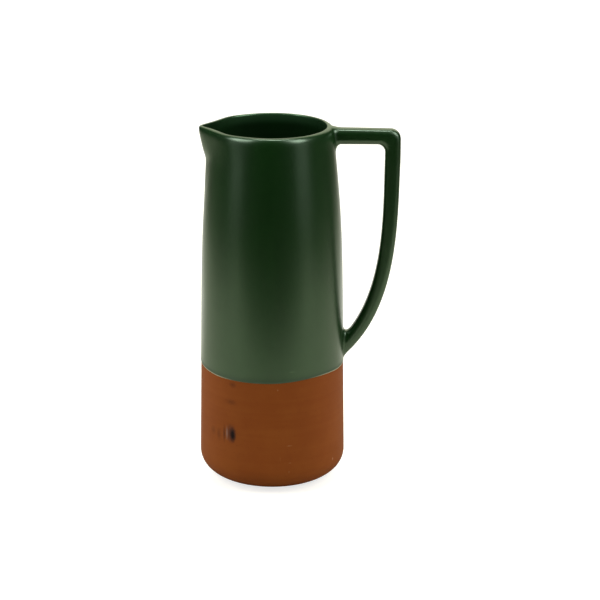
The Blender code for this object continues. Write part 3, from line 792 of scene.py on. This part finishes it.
# The green glaze is one coat, dipped rim down to the dip line. It runs without a break over the wall, the
# fillets and the handle. Its lower edge is a soft bead that waves round the wall, lowest at the front left.
DIP_HEIGHT = coat_low.z
DIP_LIFT = 0.0008
DIP_WAVES = ((1, 0.00025, 1.2), (2, 0.0004, 2.55), (3, 0.0003, -2.15), (4, 0.0001, -0.3), (6, 0.00017, 0.6),
             (13, 0.00003, 4.0))
DIP_BLEND = 0.008
BEAD_SWELL = 0.00004
BEAD_HEIGHT = 0.0017
BEAD_ROUND = 0.0006
BEAD_TURN = 0.96
COAT_SKIN = 0.00018
HOLE_COLUMNS = 10
HOLE_ROWS = 16
RIM_ROWS = 9
LIP_DROP = 0.0003
RIM_CROWDING = 1.4
UPPER_HOLE_END = 0.0245
LOWER_HOLE_TOP = 0.1090
LOWER_HOLE_END = 0.0828
OPEN_WALL_ROWS = 36
PATCH_STEPS = 3
LEAD_IN_STEPS = 3
LEAD_OUT_STEPS = 9
EDGE_ROWS = (0.0012, 0.0010, 0.0008, 0.0006, 0.0004, 0.00026, 0.00015, 0.00006, 0.0)
RUN_STRETCH = (70.0, 70.0, 9.0)
RUN_SHARE = 0.5
DEPTH_RANGE = (0.38, 0.64)
PIT_RANGE = (0.10, 0.04)
PIT_COLOUR = (0.003, 0.008, 0.003)
PIT_STRENGTH = 0.25
PIT_RELIEF = 0.4
PEEL_RELIEF = 0.5
GLAZE_UNEVENNESS = 0.06
GLAZE_BUMP = (0.00003, 0.35)
GLAZE_IOR = 1.85
GREEN_TINT = (0.75, 1.0, 0.75)
GREEN_THIN = (0.0042, 0.0258, 0.0034)
GREEN_THICK = (0.0028, 0.0210, 0.0023)
GREEN_SATIN = 0.26
# Over the bead above the dip line the colour is bluer where the glaze gathers, and darker as painted shade.
GATHERED_RANGE = (0.0042, 0.00147)
GATHERED_SHADED_GREEN = (0.0022, 0.0135, 0.0060)
GATHERED_SHADE_SHARE = 0.6
GATHERED_ROUGHNESS = 0.15
# Painted sheen: a pale line along the dip edge, only at the left and right sides, standing in for the
# reflection there.
EDGE_LINE = 0.0011
SHEEN_SIDES = (0.024, 0.040)
PAINTED_SHEEN_PALE = (0.45, 0.42, 0.28)
SCRATCH = (16.5, 0.0895, 0.0052, 0.0006, 0.8, 0.9)
SCRATCH_PALE = (0.09, 0.14, 0.06)
SCRATCH_STRENGTH = 0.6


def coat_thickness(above_edge):
    """The coat swells to a bead over its lower edge, and turns in to the clay there."""
    swell = BEAD_SWELL * np.exp(-((above_edge - BEAD_HEIGHT) / BEAD_HEIGHT) ** 2)
    turned_in = np.clip(1.0 - above_edge / BEAD_ROUND, 0.0, 1.0)
    return (COAT + swell) * np.sqrt(1.0 - BEAD_TURN * turned_in ** 2)


def coat_profile():
    """Profile (r, z) of the outer coat, with the rows gathered where the handle joins it."""
    radius, height, gone = wall_line(COAT)
    rim_end = np.interp(RIM_DROP - RIM_HEIGHT, -height, gone)
    over_rim = LIP_DROP + (rim_end - LIP_DROP) * np.linspace(0.0, 1.0, RIM_ROWS + 1) ** RIM_CROWDING
    below_rim = np.linspace(rim_end, UPPER_HOLE_END, HOLE_ROWS - RIM_ROWS + 1)
    drops = np.concatenate(((0.0,), over_rim, below_rim[1:]))
    profile = list(zip(np.interp(drops, gone, radius), np.interp(drops, gone, height)))
    open_wall = np.linspace(profile[-1][1], LOWER_HOLE_TOP, OPEN_WALL_ROWS)
    beside_foot = np.linspace(LOWER_HOLE_TOP, LOWER_HOLE_END, HOLE_ROWS + 1)
    edge = DIP_HEIGHT + np.array(EDGE_ROWS)
    heights = np.concatenate((open_wall[1:], beside_foot[1:], edge))
    return profile + [(wall_radius(z) + coat_thickness(z - DIP_HEIGHT), z) for z in heights]


def hole_loop(spots, rows):
    """Vertices round a hole in the coat's wall, in the order of the handle's ring."""
    middle, half = WHEEL_STEPS // 2, HOLE_COLUMNS // 2
    columns = range(middle - half, middle + half + 1)
    loop = [(columns[0], row) for row in rows[:-1]] + [(column, rows[-1]) for column in columns[:-1]]
    loop += [(columns[-1], row) for row in rows[:0:-1]] + [(column, rows[0]) for column in columns[:0:-1]]
    return [spots[spot] for spot in loop]


def wall_patch(loop, turn, drop):
    """Rings on the wall, between where a fillet lands and the edge of the hole."""
    _, height, gone = wall_line(COAT)
    edge = np.array([vert.co for vert in loop])
    edge_turn = np.arctan2(edge[:, 1], edge[:, 0])
    edge_drop = np.interp(edge[:, 2], height[::-1], gone[::-1])
    shares = np.linspace(0.0, 1.0, PATCH_STEPS + 1)[1:-1, None]
    return on_wall(turn + (edge_turn - turn) * shares, drop + (edge_drop - drop) * shares, COAT)


def sleeve_rings(lines):
    """Rings of the coat on the handle between its two fillets."""
    gone = run_lengths(lines)
    first = fillet_start(lines, JOINTS["upper"], COAT, 1.0)
    last = gone[-1] - fillet_start(lines[::-1], JOINTS["lower"], COAT, 1.0)
    clear = [ring for ring in range(len(lines)) if (gone[ring] > first).all() and (gone[ring] < last).all()]
    lead_in = np.linspace(first, gone[clear[0]], LEAD_IN_STEPS + 1)[1:-1]
    lead_out = np.linspace(gone[clear[-1]], last, LEAD_OUT_STEPS + 1)[1:-1]
    return np.concatenate((along_lines(lines, lead_in), lines[clear], along_lines(lines, lead_out)))


def dip_edge(turn):
    """How much the lower edge of the coat lies higher or lower round the wall."""
    return DIP_LIFT + sum(size * math.sin(count * turn + start) for count, size, start in DIP_WAVES)


def outer_coat_mesh(finish):
    """Coat of the wall, opened at the two joints and run out over the fillets and the handle."""
    profile = coat_profile()
    wall = thrown_mesh("outer_coat", profile, finish)
    form = bmesh.new()
    form.from_mesh(wall)
    above_edge = form.verts.layers.float.new("above_edge")
    column = form.verts.layers.float["wheel_column"]
    row = form.verts.layers.float["profile_row"]
    near_handle = [vert for vert in form.verts if vert.co.x > 0.0]
    spots = {(round(vert[column]), round(vert[row])): vert for vert in near_handle}
    last_row = len(profile) - len(EDGE_ROWS) - 1
    upper_rows = range(1, HOLE_ROWS + 2)
    lower_rows = range(last_row, last_row - HOLE_ROWS - 1, -1)
    for vert in form.verts:
        height = vert.co.z - DIP_HEIGHT
        vert[above_edge] = height
        share = min(max(1.0 - height / DIP_BLEND, 0.0), 1.0)
        vert.co.z += share * dip_edge(math.atan2(vert.co.y, vert.co.x))
    lines = handle_lines(0.0)
    loops = {"upper": hole_loop(spots, upper_rows), "lower": hole_loop(spots, lower_rows)}
    joined = {}
    for end, joint in JOINTS.items():
        fillet, turn, drop = joint_fillet(lines[joint["lines"]], joint, COAT, 1.0)
        joined[end] = np.concatenate((fillet, wall_patch(loops[end], turn, drop)))
    points = np.concatenate((joined["upper"][::-1], sleeve_rings(lines), joined["lower"]))
    middle, half = WHEEL_STEPS // 2, HOLE_COLUMNS // 2
    inside = set()
    for rows in (upper_rows, lower_rows):
        for spot_row in sorted(rows)[1:-1]:
            inside.update(spots[(spot, spot_row)] for spot in range(middle - half + 1, middle + half))
    bmesh.ops.delete(form, geom=list(inside), context="VERTS")
    rings = [[form.verts.new(point) for point in ring] for ring in points]
    for ring in rings:
        for vert in ring:
            vert[above_edge] = vert.co.z - DIP_HEIGHT
    bridge(form, [loops["upper"]] + rings + [loops["lower"]])
    for face in form.faces:
        face.smooth = True
        face.material_index = 0
    form.to_mesh(wall)
    wall.materials.clear()
    wall.materials.append(finish)
    form.free()
    return wall


def add_skin(piece):
    """Gives a coat its thickness, towards the clay."""
    skin = piece.modifiers.new("Coat", "SOLIDIFY")
    skin.thickness = COAT_SKIN
    skin.offset = -1.0
    skin.use_even_offset = True


def glaze_group():
    """Satin glaze: a cloudy tone where it lies thicker or thinner, fine pits, and a soft unevenness."""
    group, given, out = shader_group(
        "glaze_depth", {"Vector": "Vector", "Thin": "Color", "Thick": "Color", "Satin": "Float"},
        {"Color": "Color", "Roughness": "Float", "Height": "Float"})
    stretched = vector_math(group, "MULTIPLY", given["Vector"], RUN_STRETCH)["Vector"]
    runs = texture_node(group, "Noise", stretched, Scale=1.0, Detail=3.0)
    cloud = texture_node(group, "Noise", given["Vector"], Scale=55.0, Detail=4.0)
    peel = texture_node(group, "Noise", given["Vector"], Scale=420.0, Detail=1.0)
    pits = texture_node(group, "Voronoi", given["Vector"], Scale=260.0)
    depth = calc(group, "ADD", calc(group, "MULTIPLY", runs.outputs["Fac"], RUN_SHARE),
                 calc(group, "MULTIPLY", cloud.outputs["Fac"], 1.0 - RUN_SHARE))
    pit = ramped(group, pits.outputs["Distance"], *PIT_RANGE)
    tone = mixed(group, ramped(group, depth, *DEPTH_RANGE), given["Thin"], given["Thick"])
    pitted = mixed(group, calc(group, "MULTIPLY", pit, PIT_STRENGTH), tone, PIT_COLOUR)
    group.links.new(pitted, out["Color"])
    roughness = calc(group, "MULTIPLY_ADD", cloud.outputs["Fac"], GLAZE_UNEVENNESS, given["Satin"])
    group.links.new(roughness, out["Roughness"])
    height = calc(group, "SUBTRACT", calc(group, "MULTIPLY", peel.outputs["Fac"], PEEL_RELIEF),
                  calc(group, "MULTIPLY", pit, PIT_RELIEF))
    group.links.new(height, out["Height"])
    return group


def glaze_finish(name, thin, thick, satin, tint):
    """Material of a satin glaze. The colour and roughness of its group are still to be linked."""
    material, tree, shader, coordinates = new_finish(name)
    glaze = use_group(tree, GLAZE, coordinates, Thin=thin, Thick=thick, Satin=satin)
    shader.inputs["IOR"].default_value = GLAZE_IOR
    shader.inputs["Specular Tint"].default_value = (*tint, 1.0)
    add_bump(tree, shader, glaze["Height"], *GLAZE_BUMP)
    return material, tree, shader, coordinates, glaze


def green_finish():
    """Dark green; bluer where it gathers over the dip line and darker there as painted shade; a painted
    sheen, a pale line along its lower edge at the left and right sides; and one fine scratch."""
    material, tree, shader, coordinates, glaze = glaze_finish(
        "green_glaze", GREEN_THIN, GREEN_THICK, GREEN_SATIN, GREEN_TINT)
    height = tree.nodes.new("ShaderNodeAttribute")
    height.attribute_name = "above_edge"
    gathered = ramped(tree, height.outputs["Fac"], *GATHERED_RANGE)
    # Bluer where the glaze gathers, and darker as painted shade over the bead.
    gathered_shade = calc(tree, "MULTIPLY", gathered, GATHERED_SHADE_SHARE)
    colour = mixed(tree, gathered_shade, glaze["Color"], GATHERED_SHADED_GREEN)
    # Painted sheen: pale along the lower edge, only at the left and right sides, where the wall is seen
    # edge-on.
    sideways = tree.nodes.new("ShaderNodeSeparateXYZ")
    tree.links.new(coordinates, sideways.inputs[0])
    at_sides = ramped(tree, calc(tree, "ABSOLUTE", sideways.outputs["X"]), *SHEEN_SIDES)
    painted_sheen = calc(tree, "MULTIPLY", ramped(tree, height.outputs["Fac"], EDGE_LINE, 0.0), at_sides)
    colour = mixed(tree, painted_sheen, colour, PAINTED_SHEEN_PALE)
    scratch = mark_mask(tree, coordinates, *SCRATCH)
    colour = mixed(tree, calc(tree, "MULTIPLY", scratch, SCRATCH_STRENGTH), colour, SCRATCH_PALE)
    tree.links.new(colour, shader.inputs["Base Color"])
    roughness = calc(tree, "MULTIPLY_ADD", gathered, GATHERED_ROUGHNESS, glaze["Roughness"])
    tree.links.new(roughness, shader.inputs["Roughness"])
    return material


GLAZE = glaze_group()
outer_coat = place_piece("outer_coat", outer_coat_mesh(green_finish()))
add_skin(outer_coat)
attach(outer_coat, "root")
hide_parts("outer_glaze")


# The lining is the same kind of glaze, poured into the vessel and out again so that it holds water. It
# covers the floor and the inside wall and meets the outer coat on its crest. Its colour is painted darker
# as painted shade for the inside, and lighter just under the rim, in front and behind, as painted light.
LINING_TINT = (0.60, 1.0, 0.62)
# Greens painted darker than the outer coat, as painted shade for the inside.
SHADED_LINING_THIN = (0.0020, 0.0130, 0.0019)
SHADED_LINING_THICK = (0.0013, 0.0100, 0.0012)
LINING_SATIN = 0.27
# Painted light just under the rim: its colour, its depth below the rim and its reach off the middle.
PAINTED_RIM_GLOW = (0.019, 0.058, 0.021)
GLOW_BELOW_RIM = (0.0085, 0.0018)
GLOW_SIDES = (0.043, 0.016)


def lining_finish():
    """Green painted darker than the outer coat as painted shade, and painted lighter just under the rim, in
    front and behind, as painted light.
    """
    material, tree, shader, coordinates, glaze = glaze_finish(
        "lining_glaze", SHADED_LINING_THIN, SHADED_LINING_THICK, LINING_SATIN, LINING_TINT)
    place = tree.nodes.new("ShaderNodeSeparateXYZ")
    tree.links.new(coordinates, place.inputs[0])
    # Painted light: lighter just under the rim, in front and behind, fading deeper in.
    below_rim = calc(tree, "SUBTRACT", RIM_HEIGHT, place.outputs["Z"])
    off_middle = calc(tree, "ABSOLUTE", place.outputs["X"])
    painted_glow = calc(tree, "MULTIPLY", ramped(tree, below_rim, *GLOW_BELOW_RIM),
                   ramped(tree, off_middle, *GLOW_SIDES))
    colour = mixed(tree, painted_glow, glaze["Color"], PAINTED_RIM_GLOW)
    tree.links.new(colour, shader.inputs["Base Color"])
    tree.links.new(glaze["Roughness"], shader.inputs["Roughness"])
    return material


lining_mesh = thrown_mesh("poured_lining", inner_line(COAT)[::-1], lining_finish())
lining = place_piece("poured_lining", lining_mesh)
add_skin(lining)
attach(lining, "root")
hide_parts("inner_glaze")


# The studio: a white table top that ends in front of the pitcher, a white room behind it and a dark one on
# the camera's side, soft boxes left and right over pale boards, and a strip light overhead. None of it is
# the object.
TABLE_FRONT = -0.375
TABLE_BACK = 2.5
TABLE_WIDTH = 1.16
TABLE_WHITE = (0.53, 0.52, 0.42)
TABLE_LIFT = 0.75
TABLE_MIRRORED = 0.75
SWEEP_SIDE = (0.40, 0.20)
SWEEP_FRONT = (0.16, 0.38)
ROOM_LEVEL = 1.82
CREAM = (1.0, 1.0, 0.75)
SIDE_GLOW = 0.25
SIDE_GLOW_BEHIND = (-0.25, 0.35)
SIDE_GLOW_BELOW = (-0.14, -0.26)
ROOM_BACK = (0.0, 0.866, 0.5)
ROOM_BACK_EDGE = (0.78, 0.90)
ROOM_FADE = (-0.3, 0.5)
WHITE = (1.0, 1.0, 1.0)
SOFT_BOXES = (
    ("left_softbox", (-0.86, -0.43, 0.95), (0.50, 0.80), 8.2),
    ("right_softbox", (0.79, -0.54, 0.95), (0.50, 0.80), 8.2),
    ("left_board", (-1.00, -0.50, 0.26), (0.45, 0.40), 0.3),
    ("right_board", (0.88, -0.60, 0.26), (0.45, 0.40), 0.3),
    ("overhead_strip", (0.02, 0.06, 1.48), (0.80, 0.06), 7.5),
)
LIGHT_TARGET = Vector((0.0, 0.0, 0.14))
CAMERA_LENS = 150.0
CAMERA_SENSOR = 36.0
CAMERA_PLACE = (0.01918, -1.63976, 0.65459)
CAMERA_TILT = math.radians(72.115)
CAMERA_ROLL = math.radians(0.146)


def shown_rays(tree):
    """Masks of the rays that show the studio, by eye, in gloss or in glass, and of the camera's alone."""
    rays = tree.nodes.new("ShaderNodeLightPath").outputs
    mirrored = calc(tree, "MAXIMUM", rays["Is Glossy Ray"], rays["Is Transmission Ray"])
    return calc(tree, "MAXIMUM", mirrored, rays["Is Camera Ray"]), rays["Is Camera Ray"]


def table_finish():
    material = bpy.data.materials.new("white_table")
    material.use_nodes = True
    tree = material.node_tree
    shader = tree.nodes["Principled BSDF"]
    shader.inputs["Base Color"].default_value = (*TABLE_WHITE, 1.0)
    shader.inputs["Roughness"].default_value = 1.0
    shader.inputs["Specular IOR Level"].default_value = 0.0
    shown, by_camera = shown_rays(tree)
    place = tree.nodes.new("ShaderNodeSeparateXYZ")
    tree.links.new(tree.nodes.new("ShaderNodeTexCoord").outputs["Object"], place.inputs[0])
    sweep = calc(tree, "MULTIPLY", ramped(tree, calc(tree, "ABSOLUTE", place.outputs["X"]), *SWEEP_SIDE),
                 ramped(tree, place.outputs["Y"], *SWEEP_FRONT))
    mirrored = calc(tree, "MULTIPLY", calc(tree, "SUBTRACT", shown, by_camera), TABLE_MIRRORED)
    lift = calc(tree, "MULTIPLY_ADD", sweep, mirrored, calc(tree, "MULTIPLY", by_camera, TABLE_LIFT))
    shader.inputs["Emission Color"].default_value = (*WHITE, 1.0)
    tree.links.new(lift, shader.inputs["Emission Strength"])
    return material


table_mesh = bpy.data.meshes.new("table_top")
half = TABLE_WIDTH / 2
table_mesh.from_pydata([(-half, TABLE_FRONT, 0.0), (half, TABLE_FRONT, 0.0), (half, TABLE_BACK, 0.0),
                        (-half, TABLE_BACK, 0.0)], [], [(0, 1, 2, 3)])
table_mesh.materials.append(table_finish())
place_piece("table_top", table_mesh)

room = bpy.data.worlds.new("studio_room")
bpy.context.scene.world = room
room.use_nodes = True
tree = room.node_tree
direction = tree.nodes.new("ShaderNodeSeparateXYZ")
looking = tree.nodes.new("ShaderNodeTexCoord").outputs["Generated"]
tree.links.new(looking, direction.inputs[0])
seen, by_camera = shown_rays(tree)
beside = calc(tree, "MULTIPLY", ramped(tree, direction.outputs["Y"], *SIDE_GLOW_BEHIND), SIDE_GLOW)
beside = calc(tree, "MULTIPLY", ramped(tree, direction.outputs["Z"], *SIDE_GLOW_BELOW), beside)
behind = ramped(tree, vector_math(tree, "DOT_PRODUCT", looking, ROOM_BACK)["Value"], *ROOM_BACK_EDGE)
mirrored = calc(tree, "MAXIMUM", behind, beside)
level = tree.nodes.new("ShaderNodeMix")
tree.links.new(calc(tree, "MULTIPLY", ramped(tree, direction.outputs["Y"], *ROOM_FADE), ROOM_LEVEL),
               level.inputs["A"])
tree.links.new(seen, level.inputs["Factor"])
tree.links.new(calc(tree, "MAXIMUM", mirrored, by_camera), level.inputs["B"])
tree.links.new(level.outputs["Result"], tree.nodes["Background"].inputs["Strength"])
tree.links.new(mixed(tree, calc(tree, "SUBTRACT", seen, by_camera), WHITE, CREAM),
               tree.nodes["Background"].inputs["Color"])

for name, place, (width, height), power in SOFT_BOXES:
    lamp = bpy.data.lights.new(name, "AREA")
    lamp.shape = "RECTANGLE"
    lamp.size, lamp.size_y = width, height
    lamp.energy = power
    box = place_piece(name, lamp)
    box.location = place
    box.rotation_euler = (LIGHT_TARGET - Vector(place)).to_track_quat("-Z", "Y").to_euler()

camera_body = bpy.data.cameras.new("photo_camera")
camera_body.lens = CAMERA_LENS
camera_body.sensor_width = CAMERA_SENSOR
camera = place_piece("photo_camera", camera_body)
camera.matrix_world = (Matrix.Translation(CAMERA_PLACE) @ Matrix.Rotation(CAMERA_TILT, 4, "X")
                       @ Matrix.Rotation(CAMERA_ROLL, 4, "Z"))
bpy.context.scene.camera = camera
bpy.context.scene.view_settings.view_transform = "Standard"
